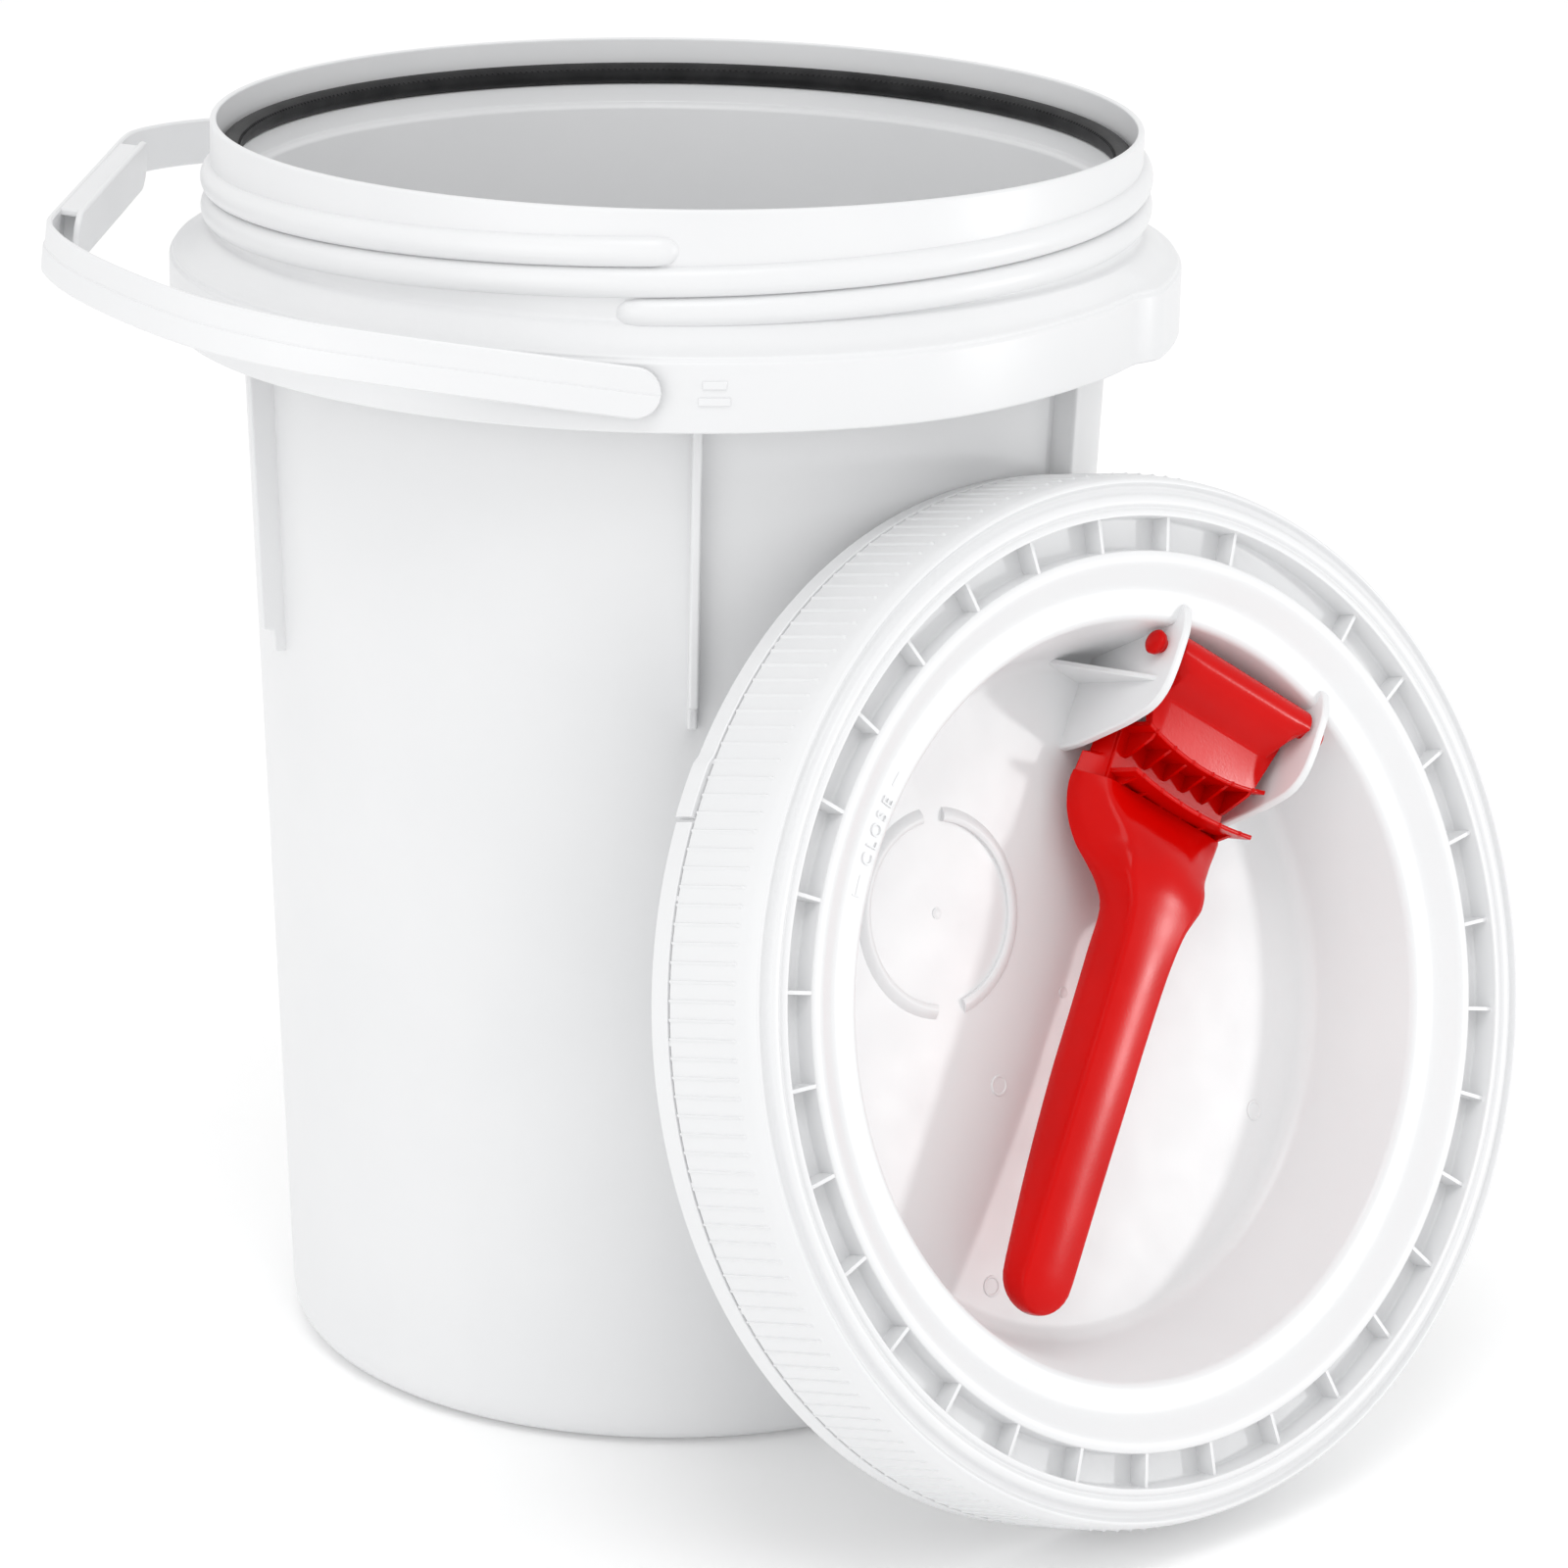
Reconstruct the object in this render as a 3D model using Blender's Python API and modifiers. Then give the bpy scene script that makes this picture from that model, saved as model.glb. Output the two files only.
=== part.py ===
"""Plastic fermenting bucket with its screw lid off and leaning against it.

Metres, +Z up. The origin is the centre of the flat base. The pail stands upright, its bail is folded
down to -X, and the lid leans on the pail with its top face towards +X -Y.
"""

import math

import bmesh
import bpy
from mathutils import Matrix, Vector

SEGMENTS = 60  # sides of every turned piece
GAP = 0.0003  # between separate pieces that would touch

# Pail: one tapered moulding with a threaded neck and a hollow collar.
RIM_Z = 0.4239
NECK_R = 0.155
NECK_BORE_R = 0.1528
BASE_R = 0.1305  # of the body wall, carried down to z = 0
BODY_TAPER = 0.0411  # growth of the body radius per metre of height
WALL = 0.0024
FLOOR_THICKNESS = 0.003
CORNER_R = 0.0125  # round between the base and the wall
COLLAR_R = 0.169
COLLAR_WALL = 0.0025
COLLAR_TOP_Z = 0.3792
COLLAR_BOTTOM_Z = 0.357
COLLAR_ROOT_Z = 0.3887
BODY_TOP_Z = 0.396
LEDGE_Z = 0.4017
SEAT_Z = 0.4083  # the gasket rests here
SEAT_R = 0.1472

THREAD_RIDGES = 3
THREAD_LEAD = 0.0336
THREAD_SPAN = math.radians(198)
THREAD_START_Z = 0.3912
THREAD_START = math.radians(-6)  # azimuth of the first ridge's low end, from the front towards +X
THREAD_TUBE_R = 0.0032
THREAD_PATH_R = 0.1562

COLLAR_BAR_AZIMUTH = math.radians(5.4)  # two small raised bars beside the bail's pivot
COLLAR_BARS = ((0.3724, 0.0075), (0.3672, 0.0100))  # middle height and width of each
COLLAR_BAR_HEIGHT = 0.0026

FIN_AZIMUTHS = [math.radians(a) for a in (-64, 4, 60, 116, 184, 240)]
FIN_THICKNESS = 0.003
FIN_DEPTH = 0.008
FIN_STEP_DEPTH = 0.0042
FIN_STEP_Z = 0.262
FIN_BOTTOM_Z = 0.2547

# Gasket: a round rubber ring on the ledge inside the neck.
GASKET_R = 0.1487
GASKET_SECTION_R = 0.0037

# Bail: a flat strap on two studs that snap into the collar, with a channel grip.
PIVOT_Z = 0.3705
BAIL_AZIMUTH = math.radians(-2.8)
BAIL_RAISED = math.radians(5.85)
STRAP_HEIGHT = 0.0162
STRAP_THICKNESS = 0.0026
ARM_Y = 0.1722  # centre of the strap at the pivots
STUD_R = 0.0045
STUD_HEAD_R = 0.0062
STUD_HEAD_Y = (0.1632, 0.1652)
GRIP_X = -0.2000
GRIP_INNER_X = -0.1905
GRIP_HALF = 0.066

# Lid, in its own frame: origin on the axis in the plane of its top, +Z out of the top face.
LID_AZIMUTH = math.radians(41.2)  # of its axis, from the front towards +X
LID_LEAN = math.radians(14.8)
LID_OUT = 0.2326  # horizontal distance from the pail's axis along that azimuth
LID_ASIDE = 0.0097
SKIRT_R = 0.169
SKIRT_BOTTOM_Z = -0.0400
BAND_BOTTOM_Z = -0.0468
WELL_FLOOR_Z = -0.0440
WELL_FLOOR_R = 0.1095
WELL_TOP_R = 0.1215
LID_WALL = 0.0022
POCKET_R = (0.1441, 0.1538)
POCKET_BOTTOM_Z = -0.0090
POCKET_RIBS = 32
RIB_START = math.radians(-1.83)
RIB_THICKNESS = 0.0012
MISSING_RIB = 5  # one rib is left out, which makes one long pocket
KNOCK_OUT_CENTRE = (-0.0492, 0.0383)
KNOCK_OUT_R = (0.0290, 0.0333)
KNOCK_OUT_GAP_ANGLE = math.radians(84.5)

# Lever: hinged on two bracket plates in the well, folded across the lid's middle.
LEVER_AZIMUTH = math.radians(55.8)  # in the lid's frame, from +X
PIN_S = 0.108  # distance of the pin axis from the lid's axis
PIN_Z = -0.0100
PIN_R = 0.0026
PIN_HEAD_R = 0.0038
BRACKET_T = 0.0335  # middle of each bracket plate, along the pin
BRACKET_THICKNESS = 0.0024
BARREL_R = 0.0074
BARREL_HALF = 0.0310

TAB_AZIMUTH = math.radians(146)

WHITE = (0.84, 0.85, 0.86)
RED = (0.72, 0.012, 0.006)
RUBBER = (0.045, 0.045, 0.048)


def clear_scene():
    for obj in list(bpy.data.objects):
        bpy.data.objects.remove(obj, do_unlink=True)


def new_collection(name):
    collection = bpy.data.collections.new(name)
    bpy.context.scene.collection.children.link(collection)
    return collection


def new_material(name, colour, roughness):
    material = bpy.data.materials.new(name)
    material.use_nodes = True
    shader = material.node_tree.nodes["Principled BSDF"]
    shader.inputs["Base Color"].default_value = (*colour, 1)
    shader.inputs["Roughness"].default_value = roughness
    shader.inputs["Metallic"].default_value = 0.0
    return material


def add_mesh(name, mesh, matrix, collection, material=None):
    obj = bpy.data.objects.new(name, mesh)
    obj.matrix_world = matrix
    collection.objects.link(obj)
    if material:
        mesh.materials.append(material)
    return obj


def from_bmesh(name, bm, matrix, collection, material=None):
    mesh = bpy.data.meshes.new(name)
    bm.to_mesh(mesh)
    bm.free()
    return add_mesh(name, mesh, matrix, collection, material)


def turned(name, profile, matrix, collection, material=None, closed=False):
    """A profile of (radius, z) points turned about Z; it runs down the outer side."""
    bm = bmesh.new()
    points = [bm.verts.new((r, 0, z)) for r, z in profile]
    for a, b in zip(points, points[1:] + points[:1] if closed else points[1:]):
        bm.edges.new((a, b))
    obj = from_bmesh(name, bm, matrix, collection, material)
    screw = obj.modifiers.new("turn", "SCREW")
    screw.steps = screw.render_steps = SEGMENTS
    screw.use_merge_vertices = True
    screw.merge_threshold = 1e-5
    return obj


def box(name, low, high, matrix, collection, material=None):
    bm = bmesh.new()
    bmesh.ops.create_cube(bm, size=1)
    size = Vector(high) - Vector(low)
    middle = (Vector(high) + Vector(low)) / 2
    bmesh.ops.transform(bm, matrix=Matrix.Translation(middle) @ Matrix.Diagonal((*size, 1)), verts=bm.verts)
    return from_bmesh(name, bm, matrix, collection, material)


def rod(name, radius, start, end, matrix, collection, material=None, sides=20):
    """A cylinder along local Y."""
    bm = bmesh.new()
    bmesh.ops.create_cone(
        bm, cap_ends=True, segments=sides, radius1=radius, radius2=radius, depth=end - start
    )
    turn = Matrix.Rotation(math.radians(-90), 4, "X")
    place = Matrix.Translation((0, (start + end) / 2, 0)) @ turn
    bmesh.ops.transform(bm, matrix=place, verts=bm.verts)
    return from_bmesh(name, bm, matrix, collection, material)


def curve_to_mesh(name, curve, matrix, collection):
    """The closed mesh of a curve, for a Boolean."""
    guide = bpy.data.objects.new(name + "_curve", curve)
    collection.objects.link(guide)
    bpy.context.view_layer.update()
    mesh = bpy.data.meshes.new_from_object(guide.evaluated_get(bpy.context.evaluated_depsgraph_get()))
    bpy.data.objects.remove(guide, do_unlink=True)
    bm = bmesh.new()
    bm.from_mesh(mesh)
    bmesh.ops.remove_doubles(bm, verts=bm.verts, dist=1e-6)
    bmesh.ops.recalc_face_normals(bm, faces=bm.faces)
    return from_bmesh(name, bm, matrix, collection)


def plate(name, outline, thickness, matrix, collection):
    """A flat outline of (x, y) points, thickened about local z = 0."""
    curve = bpy.data.curves.new(name, "CURVE")
    curve.dimensions = "2D"
    curve.fill_mode = "BOTH"
    curve.extrude = thickness / 2
    spline = curve.splines.new("POLY")
    spline.points.add(len(outline) - 1)
    for point, (x, y) in zip(spline.points, outline):
        point.co = (x, y, 0, 1)
    spline.use_cyclic_u = True
    return curve_to_mesh(name, curve, matrix, collection)


def tube(name, path, radius, matrix, collection):
    curve = bpy.data.curves.new(name, "CURVE")
    curve.dimensions = "3D"
    curve.bevel_depth = radius
    curve.bevel_resolution = 1
    curve.use_fill_caps = True
    spline = curve.splines.new("POLY")
    spline.points.add(len(path) - 1)
    for point, place in zip(spline.points, path):
        point.co = (*place, 1)
    return curve_to_mesh(name, curve, matrix, collection)


def join(obj, helper, operation="UNION"):
    helper.hide_render = True
    helper.display_type = "WIRE"
    boolean = obj.modifiers.new(helper.name, "BOOLEAN")
    boolean.operation = operation
    boolean.object = helper


def arc(centre, radius, start, end, count):
    """Points on a circle in the profile plane, with angles in degrees."""
    step = (end - start) / (count - 1)
    angles = [math.radians(start + step * i) for i in range(count)]
    return [(centre[0] + radius * math.cos(a), centre[1] + radius * math.sin(a)) for a in angles]


def azimuth_matrix(azimuth):
    """Turns local -Y to this azimuth, measured from -Y towards +X."""
    return Matrix.Rotation(azimuth, 4, "Z")


def body_radius(z):
    return BASE_R + BODY_TAPER * z


def bucket_profile():
    inner_corner = CORNER_R - WALL
    base = (body_radius(CORNER_R) - CORNER_R, CORNER_R)
    inside = [(0, FLOOR_THICKNESS)]
    inside += arc((base[0], FLOOR_THICKNESS + inner_corner), inner_corner, -90, 0, 4)
    inside += [
        (body_radius(LEDGE_Z) - WALL - 0.0008, LEDGE_Z - 0.001),
        (body_radius(LEDGE_Z) - WALL + 0.0004, LEDGE_Z),
        (SEAT_R - 0.0006, LEDGE_Z + 0.0003),
        (SEAT_R, SEAT_Z - 0.0008),
        (SEAT_R + 0.0008, SEAT_Z),
        (NECK_BORE_R, SEAT_Z),
        (NECK_BORE_R, RIM_Z - 0.0006),
        (NECK_BORE_R + 0.0006, RIM_Z),
        (NECK_R - 0.0006, RIM_Z),
        (NECK_R, RIM_Z - 0.0006),
        (NECK_R, COLLAR_ROOT_Z + 0.0025),
        (NECK_R + 0.0028, COLLAR_ROOT_Z),
    ]
    collar_inner = COLLAR_R - COLLAR_WALL
    collar = [
        (COLLAR_R - 0.0008, COLLAR_TOP_Z + 0.0006),
        (COLLAR_R, COLLAR_TOP_Z - 0.0006),
        (COLLAR_R, COLLAR_BOTTOM_Z + 0.0004),
        (COLLAR_R - 0.0004, COLLAR_BOTTOM_Z),
        (collar_inner, COLLAR_BOTTOM_Z),
        (collar_inner, COLLAR_TOP_Z - 0.0015),
        (NECK_BORE_R + 0.0015, COLLAR_ROOT_Z - 0.0022),
        (NECK_BORE_R, COLLAR_ROOT_Z),
        (NECK_BORE_R - 0.0002, BODY_TOP_Z + 0.0012),
        (body_radius(BODY_TOP_Z) + 0.0015, BODY_TOP_Z + 0.0012),
        (body_radius(BODY_TOP_Z), BODY_TOP_Z - 0.0005),
    ]
    return inside + collar + arc(base, CORNER_R, 0, -90, 5) + [(0, 0)]


def thread_path(start):
    steps = 26
    points = []
    for i in range(steps + 1):
        turn = start + THREAD_SPAN * i / steps
        z = THREAD_START_Z + THREAD_LEAD * THREAD_SPAN / math.tau * i / steps
        points.append((THREAD_PATH_R * math.sin(turn), -THREAD_PATH_R * math.cos(turn), z))
    return points


def fin_outline():
    """Seen from the side: (distance from the axis, z)."""
    buried = 0.0015
    inside_collar = COLLAR_R - COLLAR_WALL + buried / 2
    return [
        (body_radius(FIN_BOTTOM_Z) - buried, FIN_BOTTOM_Z),
        (body_radius(FIN_BOTTOM_Z) + FIN_STEP_DEPTH, FIN_BOTTOM_Z),
        (body_radius(FIN_STEP_Z) + FIN_STEP_DEPTH, FIN_STEP_Z),
        (body_radius(FIN_STEP_Z) + FIN_DEPTH, FIN_STEP_Z),
        (body_radius(COLLAR_BOTTOM_Z) + FIN_DEPTH, COLLAR_BOTTOM_Z - 0.001),
        (inside_collar, COLLAR_BOTTOM_Z + 0.004),
        (inside_collar, COLLAR_TOP_Z - 0.0008),
        (NECK_BORE_R, COLLAR_ROOT_Z - 0.0005),
        (body_radius(COLLAR_ROOT_Z) - buried, COLLAR_ROOT_Z - 0.0005),
    ]


def bail_matrix():
    raised = Matrix.Rotation(BAIL_RAISED, 4, "Y")
    return Matrix.Translation((0, 0, PIVOT_Z)) @ azimuth_matrix(BAIL_AZIMUTH) @ raised


def make_bucket(parts, helpers, white):
    world = Matrix.Identity(4)
    bucket = turned("bucket_body", bucket_profile(), world, parts, white)
    for i in range(THREAD_RIDGES):
        path = thread_path(THREAD_START + math.tau * i / THREAD_RIDGES)
        join(bucket, tube(f"thread_ridge_{i}", path, THREAD_TUBE_R, world, helpers))
    stand_up = Matrix.Rotation(math.radians(90), 4, "X")
    face_front = Matrix.Rotation(math.radians(-90), 4, "Z")
    for i, azimuth in enumerate(FIN_AZIMUTHS):
        place = azimuth_matrix(azimuth) @ face_front @ stand_up
        join(bucket, plate(f"fin_{i}", fin_outline(), FIN_THICKNESS, place, helpers))
    for z, width in COLLAR_BARS:
        low = (-width / 2, -COLLAR_R - 0.0007, z - COLLAR_BAR_HEIGHT / 2)
        high = (width / 2, -COLLAR_R + 0.0010, z + COLLAR_BAR_HEIGHT / 2)
        join(bucket, box(f"collar_bar_{z}", low, high, azimuth_matrix(COLLAR_BAR_AZIMUTH), helpers))
    hole = rod("stud_holes", STUD_R + GAP, -0.175, 0.175, bail_matrix(), helpers)
    hole.matrix_world = Matrix.Translation((0, 0, PIVOT_Z)) @ azimuth_matrix(BAIL_AZIMUTH)
    core = rod("stud_hole_core", 0.010, -0.160, 0.160, hole.matrix_world.copy(), helpers)
    join(hole, core, "DIFFERENCE")
    join(bucket, hole, "DIFFERENCE")
    return bucket


def make_gasket(parts, rubber):
    middle = (GASKET_R, SEAT_Z + GASKET_SECTION_R + GAP)
    ring = arc(middle, GASKET_SECTION_R, 90, -225, 8)
    return turned("neck_gasket", ring, Matrix.Identity(4), parts, rubber, closed=True)


def strap_path():
    """Half of the strap's middle line, from the pivot to the middle of the grip."""
    return [
        (0.0, ARM_Y), (-0.050, ARM_Y), (-0.092, 0.1705), (-0.109, 0.1672), (-0.124, 0.1620),
        (-0.138, 0.1552), (-0.152, 0.1445), (-0.166, 0.1310), (-0.179, 0.1160), (-0.189, 0.1015),
        (-0.1955, 0.0885), (-0.1990, 0.0780), (GRIP_X, 0.0680), (GRIP_X, 0.0),
    ]


def make_bail(parts, helpers, white):
    matrix = bail_matrix()
    half = strap_path()
    path = half + [(x, -y) for x, y in half[-2::-1]]
    bm = bmesh.new()
    rows = [[bm.verts.new((x, y, side * STRAP_HEIGHT / 2)) for side in (-1, 1)] for x, y in path]
    for (a, b), (c, d) in zip(rows, rows[1:]):
        bm.faces.new((a, c, d, b))
    bail = from_bmesh("bail_handle", bm, matrix, parts, white)
    solidify = bail.modifiers.new("strap", "SOLIDIFY")
    solidify.thickness = STRAP_THICKNESS
    solidify.offset = 0
    for side in (-1, 1):
        name = "front" if side < 0 else "back"
        inner, outer = ARM_Y - STRAP_THICKNESS / 2, ARM_Y + STRAP_THICKNESS / 2
        for part, radius, low, high in (
            ("strap_end", STRAP_HEIGHT / 2, inner, outer),
            ("stud", STUD_R, STUD_HEAD_Y[0], inner + 0.0004),
            ("stud_head", STUD_HEAD_R, *STUD_HEAD_Y),
        ):
            ends = sorted((side * low, side * high))
            join(bail, rod(f"{name}_{part}", radius, *ends, matrix, helpers))
    web = box(
        "grip_web", (GRIP_X - 0.0005, -0.056, -0.0062), (GRIP_INNER_X - 0.0005, 0.056, -0.0040),
        matrix, helpers,
    )
    join(bail, web)
    rounding = 0.006
    wall_half_height = 0.0088
    outline = []
    for cx, cy, start in (
        (GRIP_HALF - rounding, wall_half_height - rounding, 0),
        (rounding - GRIP_HALF, wall_half_height - rounding, 90),
        (rounding - GRIP_HALF, rounding - wall_half_height, 180),
        (GRIP_HALF - rounding, rounding - wall_half_height, 270),
    ):
        outline += arc((cx, cy), rounding, start, start + 90, 5)
    across = Matrix.Rotation(math.radians(90), 4, "Z") @ Matrix.Rotation(math.radians(90), 4, "X")
    place = matrix @ Matrix.Translation((GRIP_INNER_X - 0.0012, 0, 0)) @ across
    join(bail, plate("grip_inner_wall", outline, 0.0024, place, helpers))
    return bail


def lid_matrix():
    toward = Vector((math.sin(LID_AZIMUTH), -math.cos(LID_AZIMUTH), 0))
    aside = Vector((math.cos(LID_AZIMUTH), math.sin(LID_AZIMUTH), 0))
    normal = toward * math.cos(LID_LEAN) + Vector((0, 0, math.sin(LID_LEAN)))
    upward = normal.cross(aside)
    height = -BAND_BOTTOM_Z * math.sin(LID_LEAN) + SKIRT_R * math.cos(LID_LEAN)
    place = toward * LID_OUT + aside * LID_ASIDE + Vector((0, 0, height))
    matrix = Matrix((aside, upward, normal)).transposed().to_4x4()
    matrix.translation = place
    return matrix


def lid_profile():
    under_top = -0.0105
    floor_under = WELL_FLOOR_Z - LID_WALL
    pocket_inner, pocket_outer = POCKET_R
    return [
        (0, WELL_FLOOR_Z),
        (WELL_FLOOR_R, WELL_FLOOR_Z),
        (WELL_FLOOR_R + 0.0018, WELL_FLOOR_Z + 0.0014),
        (WELL_TOP_R, -0.0080),
        (WELL_TOP_R + 0.0014, -0.0066),
        (0.1314, -0.0064),
        (0.1392, -0.0020),
        (pocket_inner - 0.0006, -0.0020),
        (pocket_inner, -0.0026),
        (pocket_inner + 0.0004, POCKET_BOTTOM_Z),
        (pocket_outer - 0.0004, POCKET_BOTTOM_Z),
        (pocket_outer, -0.0010),
        (pocket_outer + 0.0008, 0.0004),
        (0.1610, 0.0004),
        (0.1640, -0.0008),
        (0.1662, -0.0032),
        (0.1672, -0.0067),
        (SKIRT_R, SKIRT_BOTTOM_Z),
        (SKIRT_R - 0.0020, SKIRT_BOTTOM_Z),
        (0.1650, -0.0125),
        (0.1640, under_top),
        (0.1500, POCKET_BOTTOM_Z - LID_WALL),
        (0.1488, -0.0240),
        (0.1468, -0.0240),
        (0.1462, POCKET_BOTTOM_Z - LID_WALL),
        (pocket_inner - LID_WALL, POCKET_BOTTOM_Z - LID_WALL),
        (pocket_inner - LID_WALL, -0.0046),
        (0.1386, -0.0046),
        (0.1308, -0.0088),
        (WELL_TOP_R + 0.0036, -0.0090),
        (WELL_FLOOR_R + 0.0036, WELL_FLOOR_Z + 0.0008),
        (WELL_FLOOR_R + 0.0018, floor_under),
        (0, floor_under),
    ]


def bracket_outline():
    """Seen along the pin: (distance from the pin towards the lid's middle, height above the pin)."""
    floor = WELL_FLOOR_Z - PIN_Z - LID_WALL / 2
    return [
        (-0.0150, 0.0042), (-0.0120, 0.0066), (-0.0070, 0.0080), (0.0060, 0.0080), (0.0135, 0.0070),
        (0.0200, 0.0042), (0.0240, -0.0010), (0.0275, -0.0095), (0.0311, -0.0192), (0.0343, -0.0280),
        (0.0352, floor), (-0.0010, floor), (-0.0070, -0.0180),
    ]


def lever_matrix():
    """At the middle of the pin, with +X towards the lid's middle and +Y along the pin."""
    place = Matrix.Rotation(LEVER_AZIMUTH, 4, "Z") @ Matrix.Translation((PIN_S, 0, PIN_Z))
    return lid_matrix() @ place @ Matrix.Rotation(math.pi, 4, "Z")


def make_lid(parts, helpers, white):
    matrix = lid_matrix()
    lid = turned("lid_cap", lid_profile(), matrix, parts, white)
    middle = sum(POCKET_R) / 2
    reach = (POCKET_R[1] - POCKET_R[0]) / 2 + 0.0006
    for i in range(POCKET_RIBS):
        if i == MISSING_RIB:
            continue
        place = matrix @ Matrix.Rotation(RIB_START + math.tau * i / POCKET_RIBS, 4, "Z")
        low = (middle - reach, -RIB_THICKNESS / 2, POCKET_BOTTOM_Z - 0.0006)
        high = (middle + reach, RIB_THICKNESS / 2, -0.0034)
        join(lid, box(f"pocket_rib_{i}", low, high, place, helpers))
    lever = lever_matrix()
    upright = Matrix.Rotation(math.radians(90), 4, "X")
    across = Matrix(((0, 0, 1), (1, 0, 0), (0, 1, 0))).to_4x4()  # an outline drawn across the lever
    floor = WELL_FLOOR_Z - PIN_Z - LID_WALL / 2
    for side in (-1, 1):
        place = lever @ Matrix.Translation((0, side * BRACKET_T, 0)) @ upright
        bracket = plate(f"bracket_{side + 1}", bracket_outline(), BRACKET_THICKNESS, place, helpers)
        join(lid, bracket)
        inner, outer = side * (BRACKET_T + 0.0006), side * (BRACKET_T + 0.0170)
        gusset = [(inner, floor), (outer, floor), (outer, floor + 0.0030), (inner, 0.0040)]
        place = lever @ Matrix.Translation((0.0111, 0, 0)) @ across
        join(lid, plate(f"gusset_{side + 1}", gusset, 0.0018, place, helpers))
    pins = rod("pin_holes", PIN_R + GAP, -0.045, 0.045, lever, helpers, sides=16)
    core = rod("pin_hole_core", 0.006, -0.030, 0.030, lever, helpers)
    join(pins, core, "DIFFERENCE")
    join(lid, pins, "DIFFERENCE")
    inner, outer = KNOCK_OUT_R
    low, top = -0.0006, 0.0012
    profile = [(outer - 0.0010, top), (outer, low), (inner, low), (inner + 0.0003, top)]
    place = matrix @ Matrix.Translation((*KNOCK_OUT_CENTRE, WELL_FLOOR_Z))
    ring = turned("knock_out_ring", profile, place, helpers, closed=True)
    place = place @ Matrix.Rotation(KNOCK_OUT_GAP_ANGLE, 4, "Z")
    join(ring, box("knock_out_gaps", (-0.040, -0.0042, -0.002), (0.040, 0.0042, 0.002), place, helpers), "DIFFERENCE")
    join(lid, ring)
    return lid


def make_band(parts, helpers, white):
    matrix = lid_matrix()
    outer, inner = SKIRT_R, SKIRT_R - 0.0020
    top = SKIRT_BOTTOM_Z - GAP
    profile = [(outer, top), (outer, BAND_BOTTOM_Z), (inner, BAND_BOTTOM_Z), (inner, top)]
    band = turned("tamper_band", profile, matrix, parts, white, closed=True)
    place = matrix @ Matrix.Rotation(TAB_AZIMUTH, 4, "Z")
    tab = box("pull_tab", (outer - 0.0008, -0.0110, BAND_BOTTOM_Z), (outer + 0.0012, 0.0110, top), place, helpers)
    join(band, tab)
    slit_low, slit_high = (inner - 0.002, 0.0112, BAND_BOTTOM_Z - 0.001), (outer + 0.003, 0.0124, top + 0.001)
    join(band, box("tab_slit", slit_low, slit_high, place, helpers), "DIFFERENCE")
    return band


def lever_stations():
    """Along the lever's bar: (distance from the pin, half width and height of the top, then of the bottom)."""
    bar = [
        (0.0350, 0.0262, -0.0185, 0.0338, -0.0250), (0.0415, 0.0262, -0.0185, 0.0344, -0.0255),
        (0.0420, 0.0256, -0.0152, 0.0345, -0.0255), (0.0500, 0.0232, -0.0115, 0.0332, -0.0265),
        (0.0560, 0.0198, -0.0072, 0.0312, -0.0258), (0.0620, 0.0176, -0.0042, 0.0286, -0.0238),
        (0.0680, 0.0170, -0.0026, 0.0245, -0.0205), (0.0750, 0.0146, -0.0020, 0.0180, -0.0176),
        (0.0820, 0.0124, -0.0020, 0.0140, -0.0168), (0.0960, 0.0118, -0.0022, 0.0127, -0.0180),
        (0.1400, 0.0116, -0.0024, 0.0122, -0.0178), (0.2020, 0.0116, -0.0020, 0.0122, -0.0122),
    ]
    end = arc((0.2020, 0), 0.0122, 67.5, 22.5, 3)
    return bar + [(x, half * 0.94, -0.0020, half, -0.0116) for x, half in end]


def lofted_bar(name, stations, matrix, helpers):
    """A bar of four-sided sections across X, one for each station."""
    bm = bmesh.new()
    rings = []
    for x, top_half, top, bottom_half, bottom in stations:
        corners = ((top_half, top), (bottom_half, bottom), (-bottom_half, bottom), (-top_half, top))
        rings.append([bm.verts.new((x, y, z)) for y, z in corners])
    for a, b in zip(rings, rings[1:]):
        for i in range(4):
            bm.faces.new((a[i], a[i - 1], b[i - 1], b[i]))
    bm.faces.new(rings[0])
    bm.faces.new(reversed(rings[-1]))
    bmesh.ops.recalc_face_normals(bm, faces=bm.faces)
    return from_bmesh(name, bm, matrix, helpers)


def make_lever(parts, helpers, red):
    matrix = lever_matrix()
    lever = rod("lid_lever", BARREL_R, -BARREL_HALF, BARREL_HALF, matrix, parts, red, sides=24)
    join(lever, lofted_bar("lever_bar", lever_stations(), matrix, helpers))
    for name, low, high in (
        ("lever_web", (0.0020, -0.0250, -0.0085), (0.0245, 0.0250, -0.0055)),
        ("lever_low_web", (0.0230, -0.0262, -0.0206), (0.0440, 0.0262, -0.0176)),
        ("comb_0", (0.0238, -0.0255, -0.0200), (0.0254, 0.0290, -0.0053)),
        ("comb_1", (0.0388, -0.0255, -0.0200), (0.0404, 0.0290, -0.0055)),
    ):
        join(lever, box(name, low, high, matrix, helpers))
    for side in (-1, 1):
        shank = sorted((side * (BARREL_HALF - 0.001), side * 0.0370))
        head = sorted((side * 0.0362, side * 0.0392))
        join(lever, rod(f"pin_{side + 1}", PIN_R, *shank, matrix, helpers, sides=16))
        join(lever, rod(f"pin_head_{side + 1}", PIN_HEAD_R, *head, matrix, helpers, sides=16))
    return lever


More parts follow.
